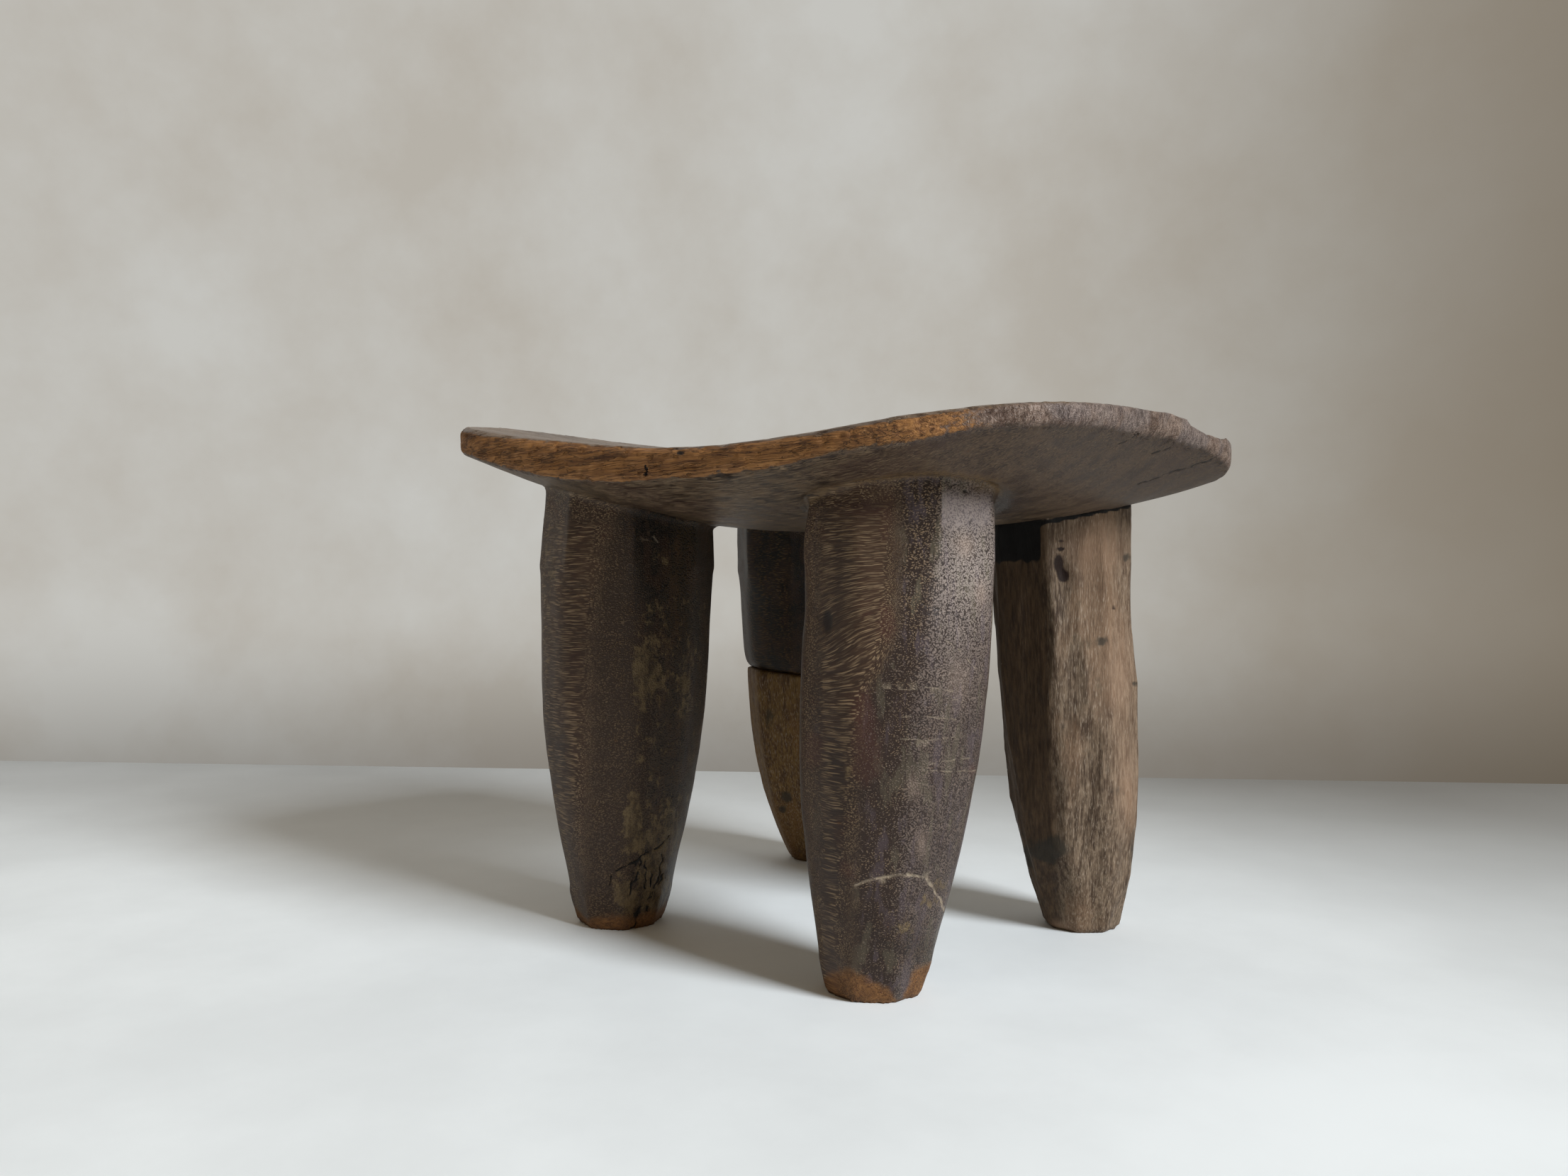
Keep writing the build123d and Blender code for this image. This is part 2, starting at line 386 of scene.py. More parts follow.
def stand(mesh, co):
    """Sets a mesh's points, with its soles flat on the floor and nothing outside the CAD's box."""
    co[co[:, 2] < sole_height, 2] = 0
    set_points(mesh, np.clip(co, cad_box[0], cad_box[1]))


class Value:
    """A number that a node gives. Its sums, differences and products are further nodes."""

    def __init__(self, nodes, socket):
        self.nodes = nodes
        self.socket = socket

    def __add__(self, other):
        return self.nodes.math("ADD", self, other)

    def __sub__(self, other):
        return self.nodes.math("SUBTRACT", self, other)

    def __rsub__(self, other):
        return self.nodes.math("SUBTRACT", other, self)

    def __mul__(self, other):
        return self.nodes.math("MULTIPLY", self, other)

    def larger(self, other):
        return self.nodes.math("MAXIMUM", self, other)

    def step(self, low, high):
        """0 below low, 1 above high, and smooth between; low may be the larger."""
        return self.nodes.map_range(self, low, high, 0.0, 1.0, "SMOOTHSTEP")

    def ramp(self, low, high, start=0.0, end=1.0):
        """A straight line from start, at the low value, to end, at the high one."""
        return self.nodes.map_range(self, low, high, start, end, "LINEAR")


class Nodes:
    """A node tree and the calls that add nodes to it."""

    def __init__(self, tree, place):
        self.tree = tree
        self.place = self.add("ShaderNodeTexCoord").outputs[place]

    def add(self, kind, inputs=(), **settings):
        node = self.tree.nodes.new(kind)
        for key, value in settings.items():
            setattr(node, key, value)
        for key, value in dict(inputs).items():
            value = getattr(value, "socket", value)
            if isinstance(value, bpy.types.NodeSocket):
                self.tree.links.new(value, node.inputs[key])
            else:
                node.inputs[key].default_value = value
        return node

    def math(self, operation, a, b=0.0, clamp=False):
        node = self.add("ShaderNodeMath", {0: a, 1: b}, operation=operation, use_clamp=clamp)
        return Value(self, node.outputs[0])

    def map_range(self, value, low, high, start, end, kind):
        inputs = {"Value": value, "From Min": low, "From Max": high, "To Min": start, "To Max": end}
        return Value(self, self.add("ShaderNodeMapRange", inputs, interpolation_type=kind).outputs[0])

    def vector(self, operation, a, b):
        return self.add("ShaderNodeVectorMath", {0: a, 1: b}, operation=operation).outputs[0]

    def part(self, vector, axis):
        return Value(self, self.add("ShaderNodeSeparateXYZ", {0: vector}).outputs[axis])

    def stretched(self, size, source=None):
        """The place on the object in lumps of the given size along X, Y and Z."""
        scale = tuple(1 / length for length in size)
        return self.add("ShaderNodeMapping", {"Vector": source or self.place, "Scale": scale}).outputs[0]

    def lumps(self, size, detail, roughness, source=None):
        place = self.stretched(size, source)
        inputs = {"Vector": place, "Scale": 1.0, "Detail": detail, "Roughness": roughness}
        return self.add("ShaderNodeTexNoise", inputs)

    def noise(self, size, detail, roughness, source=None):
        """Smooth noise round 0.5, with lumps of the given size."""
        return Value(self, self.lumps(size, detail, roughness, source).outputs["Fac"])

    def wobble(self, size, detail):
        """Smooth random steps in every direction."""
        return self.vector("SUBTRACT", self.lumps(size, detail, 0.5).outputs["Color"], (0.5, 0.5, 0.5))

    def cells(self, size, source):
        """Distance from the middle of the nearest cell, and that cell's own random colour."""
        cell = self.add("ShaderNodeTexVoronoi", {"Vector": self.stretched(size, source), "Scale": 1.0})
        return Value(self, cell.outputs["Distance"]), cell.outputs["Color"]

    def along(self, way, near, far, depth):
        """0 to depth, from one distance to another in a direction."""
        inputs = {0: self.place, 1: tuple(way)}
        distance = self.add("ShaderNodeVectorMath", inputs, operation="DOT_PRODUCT").outputs["Value"]
        return Value(self, distance).step(near, far) * depth


def mix(share, a, b):
    """From one colour to another, by the share that a node gives."""
    inputs = {"Factor": share, 6: a, 7: b}
    return share.nodes.add("ShaderNodeMix", inputs, data_type="RGBA").outputs[2]


def blend(share, a, b):
    """From one colour to another, both written in 0 to 255."""
    return mix(share, linear(*a), linear(*b))


def tinted(ground, tint, share):
    """A share of a colour, written in 0 to 255, laid over another."""
    return mix(share, ground, linear(*tint))


class Shader(Nodes):
    """A new material on a Principled surface."""

    def __init__(self, name):
        self.material = bpy.data.materials.new(name)
        self.material.use_nodes = True
        super().__init__(self.material.node_tree, "Object")
        self.surface = self.tree.nodes["Principled BSDF"]

    def mask(self, name):
        return Value(self, self.add("ShaderNodeAttribute", attribute_name=name).outputs["Fac"])

    def bump(self, height, distance, strength):
        inputs = {"Height": height, "Distance": distance, "Strength": strength}
        return self.add("ShaderNodeBump", inputs).outputs[0]

    def finish(self, colour, roughness, normal=None):
        self.tree.links.new(colour, self.surface.inputs["Base Color"])
        self.tree.links.new(roughness.socket, self.surface.inputs["Roughness"])
        if normal is not None:
            self.tree.links.new(normal, self.surface.inputs["Normal"])
        return self.material


def pixels_of(co):
    """Where the camera sees each point, in pixels of the photograph."""
    away = co - np.array(camera_place)
    across, far, high = away @ np.array(right), away @ np.array(ahead), away[:, 2]
    u = photo_width / 2 + focal_pixels * across / far
    v = photo_height / 2 - focal_pixels * high / far
    return u, v


def faces_camera(co, no):
    """1 where a surface faces the camera, falling to 0 at its outline."""
    way = np.array(camera_place) - co
    way /= np.linalg.norm(way, axis=1)[:, None]
    return smooth_step(0.02, 0.18, (way * no).sum(axis=1))


def block_between(values, low, high, soft):
    """1 between two values, with soft ends."""
    return smooth_step(low - soft, low + soft, values) * (1 - smooth_step(high - soft, high + soft, values))


def line_distance(u, v, line):
    """Distance in pixels from a line of points in the photograph."""
    nearest = np.full(len(u), 1e9)
    for (x0, y0), (x1, y1) in zip(line, line[1:]):
        run = np.array([x1 - x0, y1 - y0])
        length = np.hypot(*run)
        along = ((u - x0) * run[0] + (v - y0) * run[1]) / length
        across = ((v - y0) * run[0] - (u - x0) * run[1]) / length
        beyond = np.maximum(np.maximum(-along, along - length), 0)
        nearest = np.minimum(nearest, np.hypot(across, beyond))
    return nearest


def near_lines(u, v, lines, width):
    """1 on any of the lines, falling to 0 at the given width in pixels."""
    total = np.zeros(len(u))
    for line in lines:
        total = np.maximum(total, 1 - smooth_step(0.3 * width, width, line_distance(u, v, line)))
    return total


def spots_sum(u, v, seeds):
    """The sum of soft ovals in the photograph, each given as u, v, half width, half height and strength."""
    total = np.zeros(len(u))
    for centre_u, centre_v, half_u, half_v, strength in seeds:
        total += strength * np.exp(-(((u - centre_u) / half_u) ** 2) - ((v - centre_v) / half_v) ** 2)
    return total


def refined(mesh, wanted):
    """Splits in two every edge between two of the wanted vertices."""
    shape = bmesh.new()
    shape.from_mesh(mesh)
    shape.verts.ensure_lookup_table()
    edges = [e for e in shape.edges if wanted[e.verts[0].index] and wanted[e.verts[1].index]]
    bmesh.ops.subdivide_edges(shape, edges=edges, cuts=1, use_grid_fill=True)
    shape.to_mesh(mesh)
    shape.free()
    mesh.polygons.foreach_set("use_smooth", np.ones(len(mesh.polygons), bool))


def sitting_height(x):
    """Height of the CAD seat's sitting surface."""
    away = x / half_length - low_point_share
    left_side = left_end_rise * (np.maximum(-away, 0) / (1 + low_point_share)) ** left_curve_power
    right_side = right_end_rise * (np.maximum(away, 0) / (1 - low_point_share)) ** right_curve_power
    return seat_low_height + left_side + right_side


def from_leg(co, leg):
    """The level step from a leg's sloping axis to each point."""
    foot, top = legs[leg]
    rise = np.clip(co[:, 2] / leg_top_height, 0, 1)[:, None]
    return co[:, :2] - np.array(foot) * (1 - rise) - np.array(top) * rise


def leg_distance(co, leg):
    return np.linalg.norm(from_leg(co, leg), axis=1)


def across_grain(co, no):
    """1 where a surface cuts the block's fibres squarely, 0 where it runs along them."""
    steps = np.stack([from_leg(co, leg) for leg in ("front right", "front left", "rear left")])
    reach = np.linalg.norm(steps, axis=2)
    nearest = np.argmin(reach, axis=0)
    rows = np.arange(len(co))
    round_way = np.abs(steps[nearest, rows, 0]) / np.maximum(reach[nearest, rows], 1e-6)
    on_leg = smooth_step(0.272, 0.258, co[:, 2]) * smooth_step(-0.80, -0.50, no[:, 2])
    return on_leg * round_way + (1 - on_leg) * np.abs(no[:, 0])


def sharp_zone(mesh, bend, rings):
    """True at the vertices where a surface turns sharply, and some rings of faces round them."""
    no = normals_of(mesh)
    edges = edges_of(mesh)
    turning = (no[edges[:, 0]] * no[edges[:, 1]]).sum(axis=1) < cos(bend)
    zone = np.zeros(len(no), bool)
    zone[edges[turning].ravel()] = True
    for _ in range(rings):
        touched = zone[edges].any(axis=1)
        zone[edges[touched].ravel()] = True
    return zone


def laid_on_cad(co, node, chosen):
    """The chosen points moved to the nearest place on a CAD node's surface."""
    source = nodes[node].data
    tree = BVHTree.FromPolygons([v.co for v in source.vertices], [p.vertices for p in source.polygons])
    co = co.copy()
    for index in np.flatnonzero(chosen):
        co[index] = tree.find_nearest(Vector(co[index]))[0]
    return co


def rim_zone(co):
    """1 at the seat's edge, falling to 0 on its broad faces."""
    return smooth_step(0.0080, 0.0045, plan_depth(co)) * (co[:, 2] > 0.264)


class Surface:
    """A mesh's vertices: places, normals, pixels in the photograph, and 1 where the camera sees them."""

    def __init__(self, mesh, co, no, pixels):
        self.mesh = mesh
        self.co = co
        self.no = no
        self.u, self.v = pixels
        self.seen = faces_camera(co, no)

    def spots(self, seeds):
        return spots_sum(self.u, self.v, seeds)

    def lines(self, lines, width, shift_u=0, shift_v=0):
        return near_lines(self.u + shift_u, self.v + shift_v, lines, width)

    def cut(self, depth):
        self.co = self.co - self.no * depth[:, None]

    def mask(self, name, values):
        """A share at every vertex, which the materials read by name."""
        set_mask(self.mesh, name, np.clip(values, 0, 1))


def on_shanks(co):
    """1 on the legs between feet and seat."""
    return block_between(co[:, 2], shank_low, shank_high, shank_soft)


def sharp_edges(mesh, co, bend):
    """True at the block's sharp edges, away from the shanks."""
    return sharp_zone(mesh, bend, 1) & (on_shanks(co) < 0.2)


def even_block():
    """The CAD block in small even faces: smoothed shanks, and smaller faces at the rim and sharp edges."""
    piece = remeshed("carved_block", "carved_body", block_voxel)
    mesh = piece.data
    co = points_of(mesh)
    sharp = sharp_edges(mesh, co, coarse_bend)
    co = relaxed(co, edges_of(mesh), 0.5 * on_shanks(co), 24)
    set_points(mesh, co)
    refined(mesh, sharp | (rim_zone(co) > 0))
    co = points_of(mesh)
    co = laid_on_cad(co, "carved_body", sharp_edges(mesh, co, fine_bend))
    co = relaxed(co, edges_of(mesh), 0.4 * np.ones(len(co)), 2)
    set_points(mesh, co)
    return piece


def thin_edge(co):
    """Raises the right end's lower edge, as the real edge is thinner."""
    below_top = sitting_height(co[:, 0]) - co[:, 2]
    before_rear = smooth_step(0.110, 0.085, co[:, 1])
    near_edge = smooth_step(0.055, 0.004, plan_depth(co)) * (co[:, 2] > 0.24)
    lift = np.interp(co[:, 0] + co[:, 1], thin_edge_places, thin_edge_lifts) * before_rear
    co[:, 2] += lift * near_edge * np.clip(below_top / thin_edge_depth, 0, 1)


def hollow_out(co):
    """Hollows the seat round the top of the front right leg, and swells the leg's top to the left."""
    side = np.array(right)[:2]
    close = smooth_step(0.064, 0.050, leg_distance(co, "front right")) * smooth_step(0.284, 0.276, co[:, 2])
    left_of_axis = smooth_step(0.005, -0.030, from_leg(co, "front right") @ side)
    hollow = np.interp(pixels_of(co)[0], hollow_pixels, hollow_heights)
    co[:, 2] += hollow * close * smooth_step(0.232, 0.258, co[:, 2])
    swell = leg_top_swell * left_of_axis * close * smooth_step(0.205, 0.252, co[:, 2])
    co[:, :2] -= swell[:, None] * side


def refine_marks(mesh):
    """Smaller faces along every crack and scratch and round every knot, in three rounds."""
    lines = dark_cracks + fine_dark_lines + pale_scratches + pale_crack + rim_marks + (facet_line,)
    for reach, knot_share in mark_rounds:
        co = points_of(mesh)
        u, v = pixels_of(co)
        close = np.min([line_distance(u, v, line) for line in lines], axis=0) < reach
        close |= spots_sum(u, v, block_knots) > knot_share
        refined(mesh, close & (faces_camera(co, normals_of(mesh)) > 0.1))


def lift_end(co, u):
    """Lifts and lowers the right end's upper edge as in the photograph, with a chip at its rear corner."""
    top = smooth_step(-0.014, -0.003, co[:, 2] - sitting_height(co[:, 0]))
    end_zone = smooth_step(0.10, 0.19, co[:, 0])
    near_edge = 1 - smooth_step(0.03, 0.07, plan_depth(co))
    co[:, 2] += np.interp(u, end_lift_pixels, end_lift_heights) * top * end_zone * near_edge


def carved_relief(co, no):
    """Unevenness from the adze and from wear, and the raw edge opened along its grain."""
    on_legs = smooth_step(0.260, 0.235, co[:, 2])
    relief = 0.0007 * ripple(co, (0.09, 0.05, 0.05), 1) + 0.00035 * ripple(co, (0.03, 0.018, 0.018), 2)
    relief += on_legs * (0.0009 * scallop(co, (0.030, 0.030, 0.060), 4) - 0.0003)
    edge = rim_zone(co)
    long_side = 1 - smooth_step(0.55, 0.80, np.abs(no[:, 0]))
    split = smooth_step(0.10, 0.0, np.abs(ripple(co, (0.030, 0.0045, 0.0036), 3)))
    relief += edge * long_side * (0.0004 * ripple(co, (0.020, 0.005, 0.004), 8) - 0.0011 * split)
    relief += edge * (1 - long_side) * (0.0003 * ripple(co, (0.006, 0.006, 0.005), 9))
    return relief


class Block(Surface):
    """The carved block's surface, with its marks and the masks that its material reads."""

    def cut_marks(self):
        """Cracks, scratches, knots and a nick, as deep as they look."""
        broken = smooth_step(-0.35, 0.10, ripple(self.co, (0.004, 0.004, 0.004), 14)) * self.seen
        wander = 1.6 * ripple(self.co, (0.005, 0.005, 0.005), 15)
        self.cracks = self.lines(dark_cracks, 1.7, 3 * wander, 2 * wander) * broken
        self.fine_cracks = self.lines(fine_dark_lines, 1.5, wander, wander) * broken
        self.scratches = self.lines(pale_scratches, 1.3, wander, -wander) * broken
        self.chips = self.lines(pale_crack, 2.7, 2 * wander, -wander) * self.seen * (0.35 + 0.65 * broken)
        self.nicks = self.lines(rim_marks, 2.4) * self.seen
        self.knots = self.spots(block_knots) * self.seen
        depth = crack_depth * self.cracks + fine_crack_depth * self.fine_cracks
        depth += scratch_depth * self.scratches + chip_depth * self.chips
        depth += nick_depth * self.nicks + knot_depth * np.clip(self.knots, 0, 1)
        self.cut(depth)

    def find_legs(self):
        """1 on the seen side of leg A, front right, on that of leg B, front left, and on the stump D."""
        self.leg_a = self.seen * smooth_step(0.080, 0.066, leg_distance(self.co, "front right"))
        self.leg_b = self.seen * smooth_step(0.084, 0.070, leg_distance(self.co, "front left"))
        self.leg_d = smooth_step(0.076, 0.062, leg_distance(self.co, "rear left"))
        self.below = smooth_step(0.285, 0.262, self.co[:, 2])
        upright = smooth_step(-0.80, -0.55, self.no[:, 2])
        self.side_a = self.leg_a * upright * smooth_step(0.272, 0.266, self.co[:, 2])
        self.ragged = 9 * ripple(self.co, (0.010, 0.010, 0.006), 17)

    def mask_faces(self):
        """The seat's underside and top, and the right half, where the skin is lilac grey."""
        seat = smooth_step(0.225, 0.240, self.co[:, 2])
        self.mask("underside", smooth_step(-0.35, -0.75, self.no[:, 2]) * seat)
        self.mask("upward", smooth_step(0.5, 0.8, self.no[:, 2]))
        self.mask("lilac", smooth_step(-0.02, 0.03, self.co[:, 0]))

    def mask_grain(self):
        """Where dashes give way to dots, and dots to crinkles: by the grain, and as seen on legs A and B."""
        across = across_grain(self.co, self.no) + 0.06 * ripple(self.co, (0.012, 0.012, 0.012), 11)
        to_dots = smooth_step(0.48, 0.66, across)
        to_crinkles = smooth_step(0.70, 0.92, across)
        turns = ((self.leg_a, dots_on_a, crinkles_on_a), (self.leg_b, dots_on_b, crinkles_on_b))
        for leg, dots_at, crinkles_at in turns:
            left_edge = dots_at[0] - hewn_width
            shown = leg * self.below * (self.u > left_edge)
            dots = smooth_step(-12, 12, self.u - np.interp(self.v, turn_levels, dots_at) + self.ragged)
            dots = np.maximum(dots, 0.45 * smooth_step(left_edge + 16, left_edge, self.u + self.ragged))
            past_turn = self.u - np.interp(self.v, turn_levels, crinkles_at)
            crinkles = smooth_step(-8, 14, past_turn + 0.6 * self.ragged)
            to_dots = to_dots * (1 - shown) + dots * shown
            to_crinkles = to_crinkles * (1 - shown) + crinkles * shown
        self.mask("dotted", to_dots)
        self.mask("end_grain", to_crinkles)

    def mask_bend(self):
        """Where the front legs are hewn flat enough for their pores to show as long dashes."""
        bend = np.zeros(len(self.co))
        level = self.u + 0.7 * self.ragged
        hewn = ((self.leg_a, "front right", dots_on_a), (self.leg_b, "front left", dots_on_b))
        for leg, name, dots_at in hewn:
            start = dots_at[0] - hewn_width - 2
            end = np.interp(self.v, turn_levels, dots_at)
            flat = smooth_step(start - 12, start + 16, level) * smooth_step(end + 14, end - 26, level)
            hewn_depth = from_leg(self.co, name)[:, 1] + 0.052
            bend += 0.92 * flat * leg * (self.co[:, 2] < 0.262) * hewn_depth
        set_mask(self.mesh, "bend", bend)

    def mask_rim(self):
        """The seat's edge, and how far along it the wood is bare."""
        x, y, z = self.co.T
        facing_out = smooth_step(-0.90, -0.70, self.no[:, 2])
        edge = smooth_step(0.0050, 0.0026, plan_depth(self.co)) * facing_out * (z > 0.255)
        self.mask("rim", edge)
        below_top = sitting_height(x) - z
        under_edge = smooth_step(0.008, 0.013, below_top)
        top_edge = smooth_step(0.004, 0.001, below_top)
        end_of_bare = x + 0.25 * np.maximum(y + 0.150, 0) - 0.016 * under_edge - 0.014 * top_edge
        bare = edge * smooth_step(0.228, 0.186, end_of_bare) * smooth_step(0.10, 0.02, y)
        self.mask("bare_rim", bare * (0.45 + 0.55 * smooth_step(-0.238, -0.214, x)))

    def mask_feet(self):
        """Raw wood under the feet, with the edge that leg A shows."""
        foot_line = np.interp(self.u, foot_edge_pixels, foot_edge_levels)
        foot_a = smooth_step(-5, 5, self.v - foot_line + 7 * ripple(self.co, (0.01, 0.01, 0.01), 12))
        height = self.co[:, 2] + 0.006 * ripple(self.co, (0.014, 0.014, 0.014), 5)
        others = smooth_step(0.012, 0.004, height) * (1 - self.leg_a)
        self.mask("worn_foot", self.leg_a * foot_a + others)

    def mask_stains(self):
        """Dark stain with painted shade beside leg A's top, tan patches, pale patches that are partly painted
        highlight, reddened places, painted sheen highlight, and dust under the seat.
        """
        past_start = self.u - np.interp(self.v, dark_levels, dark_start) + self.ragged
        fading_down = 0.64 + 0.34 * smooth_step(*dark_fade_levels, self.v)
        dark = self.leg_b * self.below * smooth_step(-14, 60, past_start) * fading_down
        dark = dark + self.leg_d * self.below + self.side_a * self.spots(dark_on_a)
        # The dark mask also takes painted shade under the seat beside leg A's top
        self.mask("dark", dark + self.seen * self.spots(junction_shadow))
        few_tan = smooth_step(*few_tan_pixels, self.u) * smooth_step(*few_tan_levels, self.v)
        few_tan = 0.26 * self.leg_b * few_tan
        self.mask("tan", few_tan + self.leg_b * self.spots(tan_on_b) + self.leg_a * self.spots(tan_on_a))
        # Pale patches, partly painted highlight, painted sheen highlight and reddened places, on leg A's seen
        # side
        for name, seeds in (("pale", pale_patches_and_highlight_on_a), ("painted_sheen", painted_sheen_on_a), ("red", red_on_a)):
            self.mask(name, self.side_a * self.spots(seeds))
        dust = 0.8 * self.lines((junction_line,), 6, 0, 3) + self.spots(junction_dust)
        self.mask("dust", dust * self.seen)

    def mask_marks(self):
        self.mask("knots", self.knots + self.nicks)
        self.mask("cracks", np.maximum(self.cracks, 0.6 * self.fine_cracks))
        self.mask("scratches", np.maximum(0.5 * self.scratches, self.chips))

    def mask_smooth(self):
        """The small smooth facet at the top of leg A."""
        junction_u, junction_v = zip(*junction_line)
        under_seat = smooth_step(2, 9, self.v - np.interp(self.u, junction_u, junction_v))
        lower_end = facet_line[1][1] + 9 * ripple(self.co, (0.006, 0.006, 0.006), 16)
        facet = block_between(self.u, facet_line[0][0], facet_right, 1.5) * under_seat
        self.mask("smooth", facet * smooth_step(8, -8, self.v - lower_end) * self.side_a)


def carved_block():
    """The seat with its two whole legs and the stump of a third."""
    piece = even_block()
    mesh = piece.data
    co = points_of(mesh)
    thin_edge(co)
    hollow_out(co)
    set_points(mesh, co)
    refine_marks(mesh)
    co = points_of(mesh)
    no = normals_of(mesh)
    pixels = pixels_of(co)
    lift_end(co, pixels[0])
    block = Block(mesh, co + no * carved_relief(co, no)[:, None], no, pixels)
    block.cut_marks()
    stand(mesh, block.co)
    block.no = normals_of(mesh)
    block.find_legs()
    block.mask_faces()
    block.mask_grain()
    block.mask_bend()
    block.mask_rim()
    block.mask_feet()
    block.mask_stains()
    block.mask_marks()
    block.mask_smooth()
    return piece


def upright_leg(name, node, adze_depth, leg, shoulder_start):
    """A repair leg and its surface."""
    piece = remeshed(name, node, leg_voxel)
    mesh = piece.data
    co = points_of(mesh)
    co = relaxed(co, edges_of(mesh), 0.5 * smooth_step(0.262, 0.240, co[:, 2]), 5)
    shoulder = smooth_step(shoulder_start, shoulder_start + 0.025, co[:, 2]) * (leg_distance(co, leg) > 0.032)
    co[:, 2] += shoulder_fit * shoulder
    set_points(mesh, co)
    no = normals_of(mesh)
    on_side = smooth_step(0.6, 0.2, np.abs(no[:, 2]))
    cuts = adze_depth * (scallop(co, (0.012, 0.012, 0.055), 3) - 0.35)
    co = co + no * (on_side * cuts)[:, None]
    stand(mesh, co)
    return piece, Surface(mesh, co, normals_of(mesh), pixels_of(co))


def replaced_leg():
    """The rear right leg, of another timber, with a knot, a black patch at its top, painted shade on its left
    face and along its joint under the seat, and stains.
    """
    piece, leg = upright_leg("replaced_leg", "replacement_leg", 0.0034, "rear right", 0.228)
    leg.cut(dent_depth * leg.spots(leg_dent) * leg.seen)
    set_points(leg.mesh, leg.co)
    facet_edge = np.interp(leg.v, leg_facet_levels, leg_facet_pixels)
    leg.mask("shaded", smooth_step(9, -9, leg.u - facet_edge) * leg.seen)
    ragged = 9 * ripple(leg.co, (0.006, 0.006, 0.006), 7)
    above = smooth_step(6, -6, leg.v + ragged - black_patch_corner[1])
    black = smooth_step(2, -2, leg.u - black_patch_corner[0]) * above
    # Black patch at the top left, and painted shade along the joint under the seat
    leg.mask("black", np.maximum(black, leg.lines((joint_shade_line,), 5)) * leg.seen)
    for name, seeds in (("knots", leg_knots), ("stains", leg_stains), ("warm", leg_warm)):
        leg.mask(name, leg.spots(seeds) * leg.seen)
    return piece


def spliced_end():
    """The lower half of the rear left leg, of a third timber."""
    piece, leg = upright_leg("spliced_end", "leg_end", 0.0012, "rear left", 0.122)
    leg.mask("stains", leg.spots(end_stains) * leg.seen)
    for name in ("shaded", "black", "knots", "warm"):
        leg.mask(name, np.zeros(len(leg.co)))
    return piece


